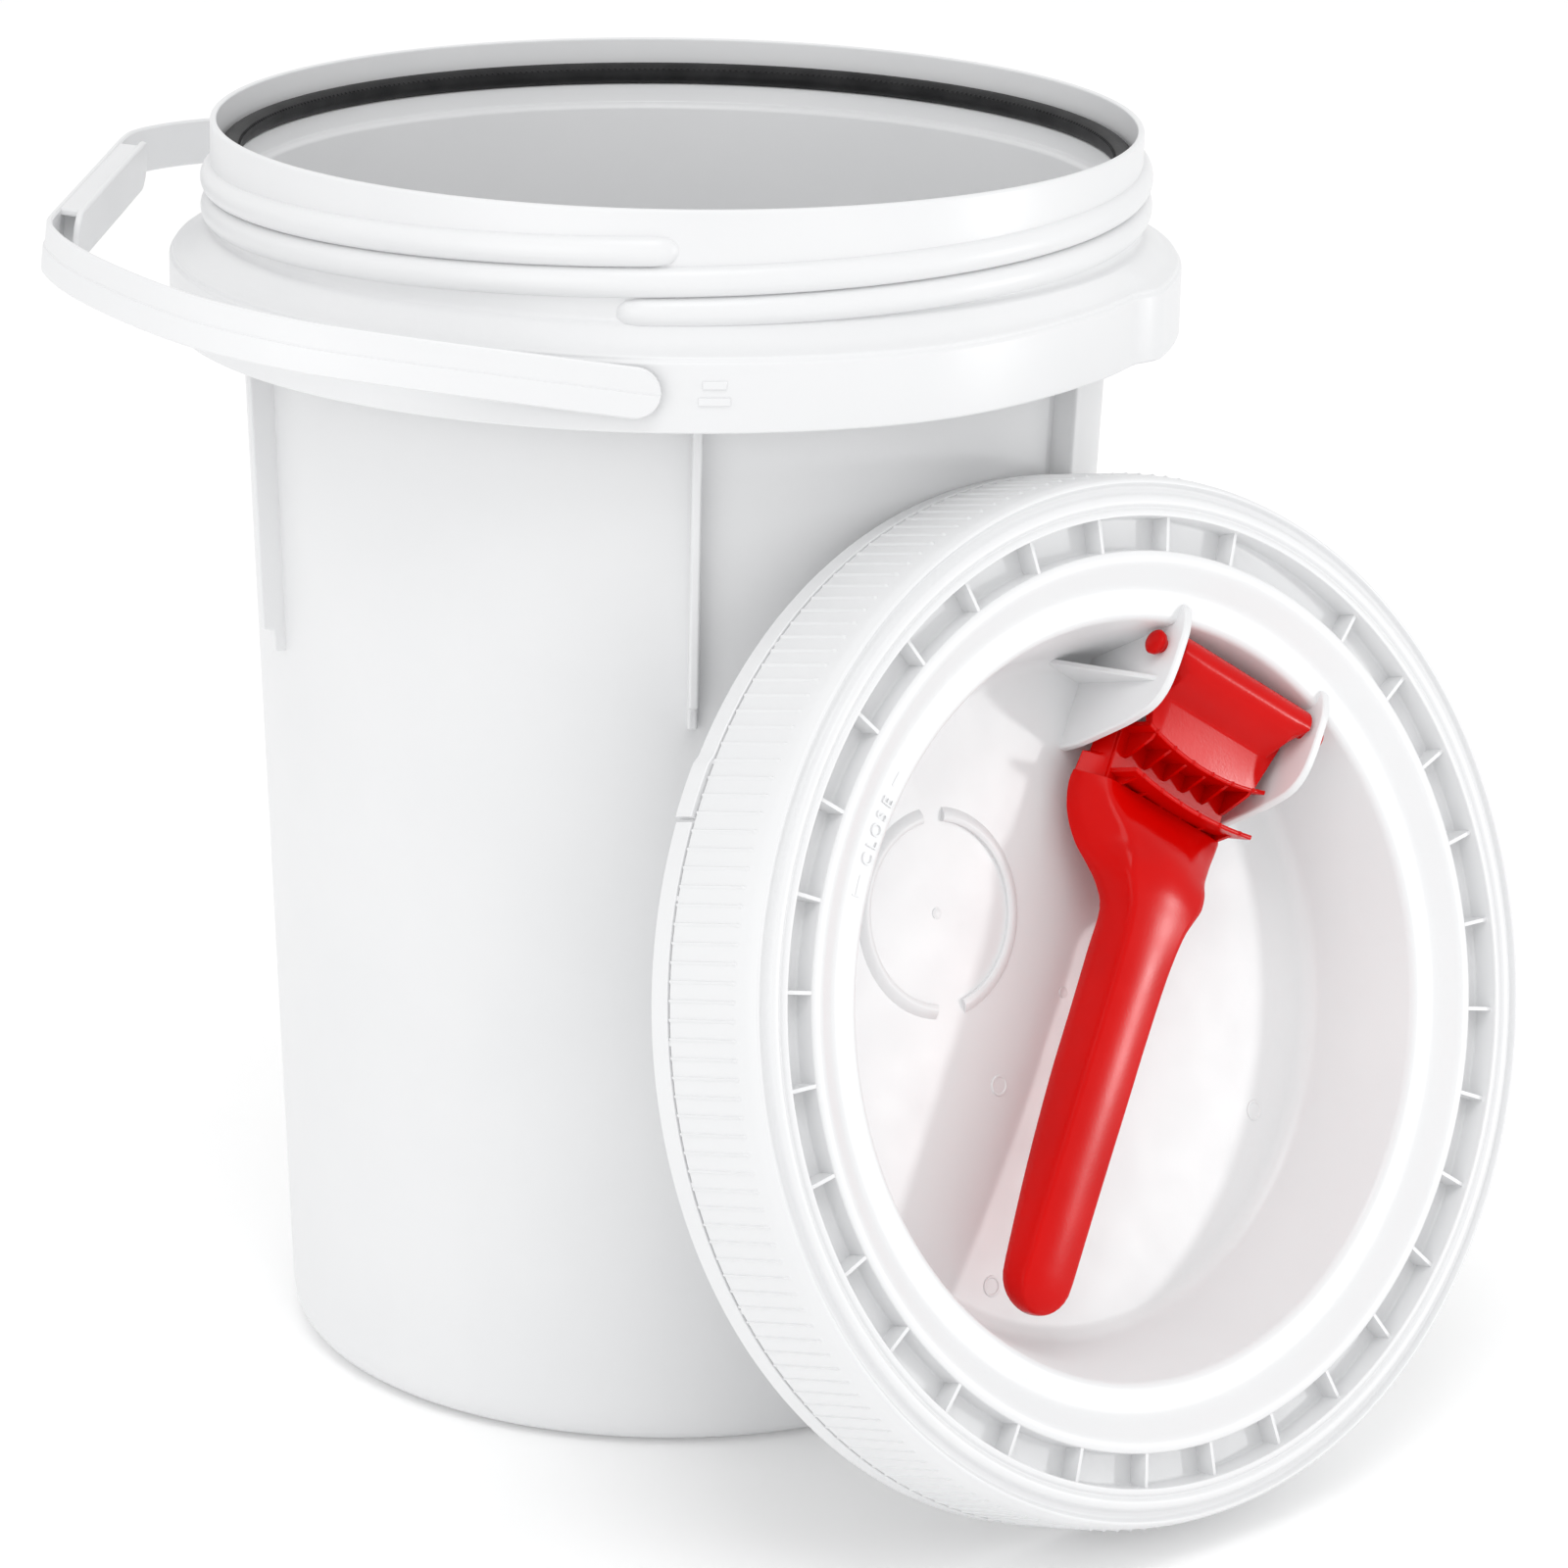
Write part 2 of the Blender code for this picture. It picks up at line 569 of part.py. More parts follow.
def main():
    clear_scene()
    parts = new_collection("fermenting_bucket")
    helpers = new_collection("helpers")
    helpers.hide_render = True
    white = new_material("white_plastic", WHITE, 0.32)
    red = new_material("red_plastic", RED, 0.22)
    rubber = new_material("black_rubber", RUBBER, 0.55)
    nodes = [
        make_bucket(parts, helpers, white),
        make_gasket(parts, rubber),
        make_bail(parts, helpers, white),
        make_lid(parts, helpers, white),
        make_band(parts, helpers, white),
        make_lever(parts, helpers, red),
    ]
    for node in nodes:
        node.data.shade_smooth()
        node.data.set_sharp_from_angle(angle=math.radians(35))


main()
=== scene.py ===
"""Looks of the plastic fermenting bucket: its pieces in fine mesh, plastic and rubber materials, light and camera.

Metres, +Z up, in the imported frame: the origin is the centre of the pail's base, the bail lies over -X and
the lid leans on the pail at the front right.
"""

import math

import bmesh
import bpy
from mathutils import Matrix, Vector


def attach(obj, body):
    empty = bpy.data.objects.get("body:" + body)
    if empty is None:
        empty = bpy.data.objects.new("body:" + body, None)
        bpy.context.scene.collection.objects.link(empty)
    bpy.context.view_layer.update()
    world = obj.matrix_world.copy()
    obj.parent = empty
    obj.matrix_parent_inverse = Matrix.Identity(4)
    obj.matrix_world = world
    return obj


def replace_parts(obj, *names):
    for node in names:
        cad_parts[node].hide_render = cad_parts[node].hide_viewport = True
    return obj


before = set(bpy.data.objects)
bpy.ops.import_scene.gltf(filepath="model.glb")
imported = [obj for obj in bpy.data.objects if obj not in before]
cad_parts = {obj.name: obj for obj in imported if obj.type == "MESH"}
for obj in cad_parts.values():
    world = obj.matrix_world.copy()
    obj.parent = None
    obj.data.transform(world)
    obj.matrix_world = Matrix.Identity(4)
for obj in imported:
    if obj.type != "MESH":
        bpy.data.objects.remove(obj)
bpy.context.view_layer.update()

TURNS = 288  # sides of every turned piece

# Pail
RIM_Z = 0.4239
NECK_R = 0.155
NECK_BORE_R = 0.1528
BASE_R = 0.1305  # of the body wall, carried down to z = 0
BODY_TAPER = 0.0411
WALL = 0.0024
COLLAR_R = 0.169
COLLAR_TOP_Z = 0.3792
COLLAR_BOTTOM_Z = 0.357
COLLAR_ROOT_Z = 0.3887
BODY_TOP_Z = 0.396
LEDGE_Z = 0.4017
SEAT_Z = 0.4083
SEAT_R = 0.1472
THREAD_RIDGES = 3
THREAD_LEAD = 0.0290
THREAD_SPAN = math.radians(248)
THREAD_START_Z = 0.3912
THREAD_START = math.radians(-6)
COLLAR_WAIST = 0.0052  # how far the collar is drawn in on both sides of its lug
LUG_AZIMUTH = 89  # degrees, as are the four below
LUG_HALF = 18.5
LUG_FLANK = 3.5
WAIST_REACH = 64
WAIST_FADE = 30
FIN_THICKNESS = 0.0032
FIN_AZIMUTHS = (-64, 4, 60, 116, 184, 240)  # degrees
FIN_DEPTH = 0.008
FIN_STEP_DEPTH = 0.0042
FIN_STEP_Z = 0.262
FIN_BOTTOM_Z = 0.2547
COLLAR_BAR_AZIMUTH = math.radians(5.4)
COLLAR_BARS = ((0.3724, 0.0075), (0.3672, 0.0100))  # height and width of each
GASKET_R = 0.1487
GASKET_SECTION_R = 0.0037
GASKET_SEAM = math.radians(148)  # where the moulded seam lies, round the ring's section
GASKET_SIDES = 28
GASKET_PIPS = 420
PIP_R = 0.00065

# Bail
PIVOT_Z = 0.3705
BAIL_AZIMUTH = math.radians(-2.8)
BAIL_RAISED = math.radians(5.85)
STRAP_HEIGHT = 0.0162
STRAP_THICKNESS = 0.0026
ARM_Y = 0.1722
STUD_R = 0.0045
STUD_END_Y = 0.1652
GRIP_X = -0.2000
GRIP_INNER_X = -0.1905
GRIP_HALF = 0.066
GRIP_WALL = 0.0024
GRIP_RIBS = 5
GRIP_RIB_SPACING = 0.024

# Lid: origin on its axis in the plane of its top, +Z out of the top face.
LID_AZIMUTH = math.radians(41.2)
LID_LEAN = math.radians(14.8)
LID_OUT = 0.2326
LID_ASIDE = 0.0097
SKIRT_R = 0.169
BAND_BOTTOM_Z = -0.0468
BAND_TOP_Z = -0.0391
SKIRT_BOTTOM_Z = -0.0384
WELL_FLOOR_Z = -0.0440
WELL_FLOOR_R = 0.1095
LID_LEDGE_Z = -0.0066
POCKET_R = (0.1430, 0.1538)
POCKET_BOTTOM_Z = -0.0090
POCKET_RIBS = 32
RIB_START = math.radians(-1.83)
MISSING_RIB = 5
KNURLS = 182
KNOCK_OUT_CENTRE = (-0.0492, 0.0383)
KNOCK_OUT_R = (0.0290, 0.0333)
KNOCK_OUT_ARCS = ((92.5, 257.0), (-82.0, 76.5))  # degrees
TAB_AZIMUTH = math.radians(146)
TAB_SPAN = 6.6  # degrees
BAND_SLIT = math.radians(0.5)
BAND_BRIDGES = 24

# Lever, from the middle of its pins: +X towards the lid's middle, +Y along the pins.
LEVER_AZIMUTH = math.radians(55.8)
PIN_S = 0.108
PIN_Z = -0.0100
PIN_R = 0.0026
BRACKET_Y = 0.0338
BRACKET_THICKNESS = 0.0031
BRACKET_FLOOR = WELL_FLOOR_Z - PIN_Z - 0.0011  # just below the well's floor, where the brackets are rooted
BARREL_HALF = 0.0306
WEB_HALF = 0.0250
COMB_START = -0.0255  # ends of the cross plates, along the pins
COMB_END = 0.0300
COMB_POINT_Y = 0.0255  # where a cross plate starts to run out to its point
COMB_TOP = -0.0054
COMB_RIBS = 6
COMB_RIB_START = -0.0217
COMB_RIB_SPACING = 0.0093
UPPER_COMB = (0.0218, 0.0042)  # distance from the pins at the ends, and how much further in the middle
LOWER_COMB = (0.0378, 0.0026)


# ---- meshes -------------------------------------------------------------------------------------------


def piece(name, bm, matrix, material, body, sharp=38):
    """A mesh object that rides on a body and shades smoothly, except at edges sharper than sharp degrees."""
    bmesh.ops.recalc_face_normals(bm, faces=bm.faces)
    mesh = bpy.data.meshes.new(name)
    bm.to_mesh(mesh)
    bm.free()
    mesh.transform(matrix)
    mesh.shade_smooth()
    mesh.set_sharp_from_angle(angle=math.radians(sharp))
    mesh.materials.append(material)
    obj = bpy.data.objects.new(name, mesh)
    bpy.context.scene.collection.objects.link(obj)
    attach(obj, body)
    return obj


def soften(obj, width, segments=3):
    """Rounds every edge sharper than 30 degrees."""
    bevel = obj.modifiers.new("soft_edges", "BEVEL")
    bevel.width = width
    bevel.segments = segments
    bevel.limit_method = "ANGLE"
    bevel.angle_limit = math.radians(30)


def filleted(points, steps=4):
    """A line of (r, z) or (r, z, fillet) points, with each stated corner rounded."""
    line = []
    for i, point in enumerate(points):
        here = Vector(point[:2])
        if len(point) == 2 or i in (0, len(points) - 1):
            line.append(tuple(here))
            continue
        before = Vector(points[i - 1][:2]) - here
        after = Vector(points[i + 1][:2]) - here
        reach = min(point[2], before.length * 0.49, after.length * 0.49)
        start, end = here + before.normalized() * reach, here + after.normalized() * reach
        for k in range(steps + 1):
            t = k / steps
            line.append(tuple(start * (1 - t) ** 2 + here * 2 * t * (1 - t) + end * t * t))
    return line


def revolve(profile, turns=TURNS, closed=False):
    """Turns a line of (r, z) points about Z. A closed one joins its last point to its first."""
    bm = bmesh.new()
    angles = [math.tau * i / turns for i in range(turns)]
    rings = []
    for r, z in profile:
        if r < 1e-6:
            rings.append([bm.verts.new((0, 0, z))])
        else:
            rings.append([bm.verts.new((r * math.cos(a), r * math.sin(a), z)) for a in angles])
    for a, b in zip(rings, rings[1:] + rings[:1] if closed else rings[1:]):
        for i in range(turns):
            j = (i + 1) % turns
            corners = [a[i % len(a)], a[j % len(a)], b[j % len(b)], b[i % len(b)]]
            unique = list(dict.fromkeys(corners))
            if len(unique) > 2:
                bm.faces.new(unique)
    return bm


def sweep(sections):
    """Rings of points, each a closed section, skinned one to the next and capped at both ends."""
    bm = bmesh.new()
    rings = [[bm.verts.new(p) for p in section] for section in sections]
    for a, b in zip(rings, rings[1:]):
        for i in range(len(a)):
            bm.faces.new((a[i - 1], a[i], b[i], b[i - 1]))
    bm.faces.new(rings[0])
    bm.faces.new(reversed(rings[-1]))
    return bm


def slab(low, high, lean=0.0):
    """A block whose top is drawn in by lean on every side, as a moulded rib is."""
    (x0, y0, z0), (x1, y1, z1) = low, high
    bottom = [(x0, y0, z0), (x1, y0, z0), (x1, y1, z0), (x0, y1, z0)]
    top = [
        (x0 + lean, y0 + lean, z1), (x1 - lean, y0 + lean, z1),
        (x1 - lean, y1 - lean, z1), (x0 + lean, y1 - lean, z1),
    ]
    return sweep([bottom, top])


def plate(outline, thickness):
    """An outline of (x, z) points, thickened along Y."""
    return sweep([[(x, y, z) for x, z in outline] for y in (-thickness / 2, thickness / 2)])


def rod(radius, stations):
    """A round bar along Y through (y, radius factor) stations."""
    sides = 32
    angles = [math.tau * i / sides for i in range(sides)]
    return sweep(
        [[(radius * f * math.cos(a), y, radius * f * math.sin(a)) for a in angles] for y, f in stations]
    )


def merge(target, added, matrix=None):
    """Adds one bmesh to another, which takes its faces as they are."""
    if matrix is not None:
        bmesh.ops.transform(added, matrix=matrix, verts=added.verts)
    copy = {v: target.verts.new(v.co) for v in added.verts}
    for face in added.faces:
        target.faces.new([copy[v] for v in face.verts])
    added.free()
    return target


def smooth_path(points, steps=8):
    """A Catmull-Rom curve through vectors of any length."""
    ends = [points[0] * 2 - points[1], *points, points[-1] * 2 - points[-2]]
    path = []
    for p0, p1, p2, p3 in zip(ends, ends[1:], ends[2:], ends[3:]):
        for k in range(steps):
            t = k / steps
            path.append(
                0.5 * (2 * p1 + (p2 - p0) * t + (2 * p0 - 5 * p1 + 4 * p2 - p3) * t * t
                       + (3 * p1 - p0 - 3 * p2 + p3) * t * t * t)
            )
    return [*path, points[-1].copy()]


def azimuth_matrix(azimuth):
    return Matrix.Rotation(azimuth, 4, "Z")


def body_radius(z):
    return BASE_R + BODY_TAPER * z


# ---- materials ----------------------------------------------------------------------------------------


def plastic(name, colours, roughness, grain, mottle=14.0, specular=0.5):
    """Moulded plastic: two close colours in soft clouds, uneven gloss, and a fine moulded grain."""
    material = bpy.data.materials.new(name)
    material.use_nodes = True
    nodes, links = material.node_tree.nodes, material.node_tree.links
    shader = nodes["Principled BSDF"]
    place = nodes.new("ShaderNodeTexCoord")

    def noise(scale, detail):
        node = nodes.new("ShaderNodeTexNoise")
        node.inputs["Scale"].default_value = scale
        node.inputs["Detail"].default_value = detail
        links.new(place.outputs["Object"], node.inputs["Vector"])
        return node

    clouds = noise(mottle, 3.0)
    ramp = nodes.new("ShaderNodeValToRGB")
    ramp.color_ramp.elements[0].position, ramp.color_ramp.elements[1].position = 0.35, 0.65
    for element, colour in zip(ramp.color_ramp.elements, colours):
        element.color = (*colour, 1)
    links.new(clouds.outputs["Fac"], ramp.inputs["Fac"])
    links.new(ramp.outputs["Color"], shader.inputs["Base Color"])

    gloss = nodes.new("ShaderNodeMapRange")
    gloss.inputs["To Min"].default_value = roughness - 0.05
    gloss.inputs["To Max"].default_value = roughness + 0.07
    links.new(noise(60.0, 4.0).outputs["Fac"], gloss.inputs["Value"])
    links.new(gloss.outputs["Result"], shader.inputs["Roughness"])

    fine, wave = noise(1400.0, 2.0), noise(38.0, 2.0)
    height = nodes.new("ShaderNodeMix")
    height.data_type = "FLOAT"
    height.inputs["Factor"].default_value = 0.65
    links.new(fine.outputs["Fac"], height.inputs["A"])
    links.new(wave.outputs["Fac"], height.inputs["B"])
    bump = nodes.new("ShaderNodeBump")
    bump.inputs["Strength"].default_value = grain
    bump.inputs["Distance"].default_value = 0.0004
    links.new(height.outputs["Result"], bump.inputs["Height"])
    links.new(bump.outputs["Normal"], shader.inputs["Normal"])
    shader.inputs["Specular IOR Level"].default_value = specular
    return material


def rubber(name):
    """Moulded black rubber, duller than the plastic and with a stronger grain."""
    colours = ((0.012, 0.012, 0.013), (0.022, 0.022, 0.023))
    return plastic(name, colours, 0.50, 0.5, mottle=90.0, specular=0.22)


WHITE = plastic("white_plastic_look", ((0.752, 0.757, 0.765), (0.768, 0.772, 0.779)), 0.34, 0.10)
RED = plastic(
    "red_plastic_look", ((0.54, 0.0010, 0.0004), (0.59, 0.0014, 0.0005)), 0.18, 0.12, mottle=30.0, specular=0.13
)
BLACK = rubber("black_rubber_look")


# ---- pail ---------------------------------------------------------------------------------------------


def pail_profile():
    """From the middle of the floor's top, up the inside, over the rim and down the outside to the base."""
    corner = 0.0125
    inner_wall = body_radius(0) - WALL
    inside = [
        (0, 0.0030),
        (inner_wall - 0.0030 + 0.0005, 0.0030, 0.0095),
        (body_radius(LEDGE_Z) - WALL - 0.0008, LEDGE_Z - 0.0012, 0.0015),
        (body_radius(LEDGE_Z) - WALL + 0.0006, LEDGE_Z, 0.0010),
        (SEAT_R - 0.0010, LEDGE_Z + 0.0003, 0.0008),
        (SEAT_R, SEAT_Z, 0.0007),
        (NECK_BORE_R, SEAT_Z, 0.0006),
        (NECK_BORE_R, RIM_Z, 0.0009),
        (NECK_R, RIM_Z, 0.0011),
        (NECK_R, COLLAR_ROOT_Z + 0.0006, 0.0012),
        (NECK_R + 0.0022, COLLAR_ROOT_Z - 0.0006, 0.0020),
        (NECK_R + 0.0086, COLLAR_TOP_Z + 0.0034, 0.0050),
        (COLLAR_R - 0.0012, COLLAR_TOP_Z + 0.0016, 0.0010),
        (COLLAR_R - 0.0010, COLLAR_TOP_Z + 0.0006, 0.0003),
        (COLLAR_R, COLLAR_TOP_Z - 0.0002, 0.0006),
        (COLLAR_R, COLLAR_BOTTOM_Z, 0.0010),
        (COLLAR_R - 0.0025, COLLAR_BOTTOM_Z, 0.0006),
        (COLLAR_R - 0.0025, COLLAR_TOP_Z - 0.0015, 0.0020),
        (NECK_BORE_R + 0.0015, COLLAR_ROOT_Z - 0.0022, 0.0020),
        (NECK_BORE_R - 0.0002, COLLAR_ROOT_Z + 0.0020, 0.0015),
        (NECK_BORE_R - 0.0002, BODY_TOP_Z + 0.0012, 0.0010),
        (body_radius(BODY_TOP_Z) + 0.0015, BODY_TOP_Z + 0.0012, 0.0006),
        (body_radius(BODY_TOP_Z), BODY_TOP_Z - 0.0005, 0.0006),
        (body_radius(0.004), 0.0, corner),
        (0, 0),
    ]
    return filleted(inside, 6)


def thread_ridge(start):
    """One helical ridge with a rounded section and ends that sink into the neck."""
    steps, around = 150, 14
    half_height, depth, buried = 0.0049, 0.0044, 0.0012
    run_out = 0.010 / (NECK_R * THREAD_SPAN)
    sections = []
    for i in range(steps + 1):
        t = i / steps
        turn = start + THREAD_SPAN * t
        z = THREAD_START_Z + THREAD_LEAD * THREAD_SPAN / math.tau * t
        end = min(1.0, min(t, 1 - t) / run_out)
        swell = max(0.04, math.sqrt(1 - (1 - end) ** 2))
        outward = Vector((math.sin(turn), -math.cos(turn), 0))
        section = []
        for k in range(around):
            a = -math.pi / 2 + math.pi * k / (around - 1)
            out = depth * abs(math.cos(a)) ** 0.85 * swell
            up = half_height * math.sin(a) * (0.35 + 0.65 * swell)
            reach = NECK_R - buried + out + buried * swell * 0.2
            section.append(outward * reach + Vector((0, 0, z + up)))
        section.append(outward * (NECK_R - 0.0018) + Vector((0, 0, z)))
        sections.append(section)
    return sweep(sections)


def waist(azimuth):
    """How far the collar is drawn in at an azimuth in degrees: beside the lug, fading out away from it."""
    off = abs(azimuth - LUG_AZIMUTH)
    near = min(1, max(0, (off - LUG_HALF) / LUG_FLANK))
    far = min(1, max(0, (WAIST_REACH - off) / WAIST_FADE))
    return COLLAR_WAIST * near * far * far * (3 - 2 * far)


def draw_in_collar(bm):
    """Shapes the turned collar round its lug."""
    root, edge = NECK_R + 0.0022, COLLAR_R - 0.0030
    for v in bm.verts:
        r = math.hypot(v.co.x, v.co.y)
        if r > root and COLLAR_BOTTOM_Z - 0.001 < v.co.z < COLLAR_ROOT_Z:
            azimuth = math.degrees(math.atan2(v.co.x, -v.co.y))
            factor = 1 - waist(azimuth) * min(1, (r - root) / (edge - root)) / r
            v.co.x *= factor
            v.co.y *= factor
    return bm


def fin_outline(azimuth):
    """A fin seen from its side as (r, z) points: stepped at the foot and rooted in the wall and the collar."""
    buried = 0.0012
    inside_collar = COLLAR_R - 0.0025 + buried / 2 - waist(azimuth)
    return [
        (body_radius(FIN_BOTTOM_Z) - buried, FIN_BOTTOM_Z),
        (body_radius(FIN_BOTTOM_Z) + FIN_STEP_DEPTH, FIN_BOTTOM_Z),
        (body_radius(FIN_STEP_Z) + FIN_STEP_DEPTH, FIN_STEP_Z),
        (body_radius(FIN_STEP_Z) + FIN_DEPTH, FIN_STEP_Z + 0.0010),
        (body_radius(COLLAR_BOTTOM_Z) + FIN_DEPTH, COLLAR_BOTTOM_Z - 0.001),
        (inside_collar, COLLAR_BOTTOM_Z + 0.004),
        (inside_collar, COLLAR_TOP_Z - 0.0030),
        (body_radius(COLLAR_TOP_Z) - buried, COLLAR_TOP_Z - 0.0030),
    ]


def collar_bar(z, width):
    """A small raised bar on the collar's face."""
    low = (-width / 2, -COLLAR_R - 0.0006, z - 0.0013)
    high = (width / 2, -COLLAR_R + 0.0008, z + 0.0013)
    return slab(low, high)


def make_pail():
    world = Matrix.Identity(4)
    shell = piece("pail_shell", draw_in_collar(revolve(pail_profile())), world, WHITE, "pail")
    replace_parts(shell, "bucket_body")
    for i in range(THREAD_RIDGES):
        ridge = thread_ridge(THREAD_START + math.tau * i / THREAD_RIDGES)
        piece(f"thread_ridge_{i}", ridge, world, WHITE, "pail", sharp=70)
    turn_front = Matrix.Rotation(math.radians(-90), 4, "Z")
    for i, azimuth in enumerate(FIN_AZIMUTHS):
        place = azimuth_matrix(math.radians(azimuth)) @ turn_front
        soften(piece(f"fin_{i}", plate(fin_outline(azimuth), FIN_THICKNESS), place, WHITE, "pail"), 0.0009, 4)
    place = azimuth_matrix(COLLAR_BAR_AZIMUTH)
    for i, (z, width) in enumerate(COLLAR_BARS):
        soften(piece(f"collar_bar_{i}", collar_bar(z, width), place, WHITE, "pail"), 0.0004)


def make_gasket():
    """A round rubber ring with a raised parting bead and a row of moulded pips beside it."""
    middle = Vector((GASKET_R, SEAT_Z + GASKET_SECTION_R))
    ring = []
    for i in range(GASKET_SIDES):
        a = math.tau * i / GASKET_SIDES
        bead = 0.00022 if i == round(GASKET_SIDES * GASKET_SEAM / math.tau) else 0.0
        ring.append(tuple(middle + Vector((math.cos(a), math.sin(a))) * (GASKET_SECTION_R + bead)))
    bm = revolve(ring, 360, closed=True)
    r = GASKET_R + GASKET_SECTION_R * math.cos(GASKET_SEAM)
    z = middle.y + GASKET_SECTION_R * math.sin(GASKET_SEAM)
    for i in range(GASKET_PIPS):
        turn = math.tau * i / GASKET_PIPS
        pip = bmesh.new()
        bmesh.ops.create_icosphere(pip, subdivisions=1, radius=PIP_R)
        merge(bm, pip, Matrix.Translation((r * math.cos(turn), r * math.sin(turn), z)))
    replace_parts(piece("gasket_ring", bm, Matrix.Identity(4), BLACK, "pail"), "neck_gasket")


# ---- bail ---------------------------------------------------------------------------------------------


def bail_matrix():
    raised = Matrix.Rotation(BAIL_RAISED, 4, "Y")
    return Matrix.Translation((0, 0, PIVOT_Z)) @ azimuth_matrix(BAIL_AZIMUTH) @ raised


def strap_half():
    """The strap's middle line from above, from a pivot to the middle of the grip."""
    corners = (
        (0.0, ARM_Y), (-0.050, ARM_Y), (-0.092, 0.1705), (-0.109, 0.1672), (-0.124, 0.1620),
        (-0.138, 0.1552), (-0.152, 0.1445), (-0.166, 0.1310), (-0.179, 0.1160), (-0.189, 0.1015),
        (-0.1955, 0.0885), (-0.1990, 0.0780), (GRIP_X, 0.0660), (GRIP_X, 0.0330), (GRIP_X, 0.0),
    )
    return smooth_path([Vector(c) for c in corners])


def strap_section(height):
    """(outward, up) points: a flat band with soft edges, and its outer face stepped at mid height."""
    h, t, step = height / 2, STRAP_THICKNESS / 2, min(0.0006, height / 8)
    soft = min(0.0006, h / 2)
    return [
        (t - soft, -h), (t, -h + soft), (t, -0.0004), (t - step * 0.2, 0.0), (t - step, 0.0003),
        (t - step, h - soft), (t - step - soft, h), (soft - t, h),
        (-t, h - soft), (-t, -h + soft), (soft - t, -h),
    ]


def make_bail():
    matrix = bail_matrix()
    half = strap_half()
    radius = STRAP_HEIGHT / 2
    tip = [Vector((radius * math.sin(math.radians(a)), ARM_Y)) for a in (86, 75, 62, 48, 34, 20, 8)]
    near = tip + half
    path = near + [Vector((p.x, -p.y)) for p in reversed(near[:-1])]
    sections = []
    for i, p in enumerate(path):
        ahead, behind = path[min(i + 1, len(path) - 1)], path[max(i - 1, 0)]
        along = (ahead - behind).normalized()
        outward = Vector((-along.y, along.x))
        if outward.dot(p) < 0:
            outward = -outward
        height = 2 * math.sqrt(max(radius**2 - max(p.x, 0) ** 2, 1e-8))
        sections.append(
            [(p.x + outward.x * o, p.y + outward.y * o, up) for o, up in strap_section(height)]
        )
    strap = piece("bail_strap", sweep(sections), matrix, WHITE, "bail", sharp=25)
    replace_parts(strap, "bail_handle")

    stations = ((ARM_Y - 0.0008, 1), (STUD_END_Y, 1), (STUD_END_Y, 1.38), (STUD_END_Y - 0.0020, 1.2))
    for side, name in ((-1, "front"), (1, "back")):
        stud = rod(STUD_R, [(side * y, f) for y, f in stations])
        soften(piece(f"{name}_stud", stud, matrix, WHITE, "bail"), 0.0003)

    # The grip's inner wall has round ends, and a web and ribs join it to the strap.
    wall = []
    half_height, rounding = 0.0088, 0.0070
    for cx, cz, start in (
        (GRIP_HALF - rounding, half_height - rounding, 0),
        (rounding - GRIP_HALF, half_height - rounding, 90),
        (rounding - GRIP_HALF, rounding - half_height, 180),
        (GRIP_HALF - rounding, rounding - half_height, 270),
    ):
        for k in range(9):
            a = math.radians(start + 90 * k / 8)
            wall.append((cx + rounding * math.cos(a), cz + rounding * math.sin(a)))
    rooted_x = GRIP_INNER_X - GRIP_WALL / 2
    across = matrix @ Matrix.Translation((rooted_x, 0, 0)) @ Matrix.Rotation(math.radians(90), 4, "Z")
    soften(piece("grip_inner_wall", plate(wall, GRIP_WALL), across, WHITE, "bail"), 0.0009, 4)
    web = slab((GRIP_X, -0.0570, 0.0056), (GRIP_INNER_X - 0.0006, 0.0570, 0.0080), 0.0006)
    soften(piece("grip_web", web, matrix, WHITE, "bail"), 0.0008)
    for i in range(GRIP_RIBS):
        y = GRIP_RIB_SPACING * (i - (GRIP_RIBS - 1) / 2)
        rib = slab((GRIP_X, y - 0.0007, -0.0066), (rooted_x, y + 0.0007, 0.0060))
        piece(f"grip_rib_{i}", rib, matrix, WHITE, "bail")


# ---- lid ----------------------------------------------------------------------------------------------


def lid_matrix():
    """The lid stands on its rim at the pail's front right and leans back."""
    toward = Vector((math.sin(LID_AZIMUTH), -math.cos(LID_AZIMUTH), 0))
    aside = Vector((math.cos(LID_AZIMUTH), math.sin(LID_AZIMUTH), 0))
    normal = toward * math.cos(LID_LEAN) + Vector((0, 0, math.sin(LID_LEAN)))
    height = -BAND_BOTTOM_Z * math.sin(LID_LEAN) + SKIRT_R * math.cos(LID_LEAN)
    matrix = Matrix((aside, normal.cross(aside), normal)).transposed().to_4x4()
    matrix.translation = toward * LID_OUT + aside * LID_ASIDE + Vector((0, 0, height))
    return matrix


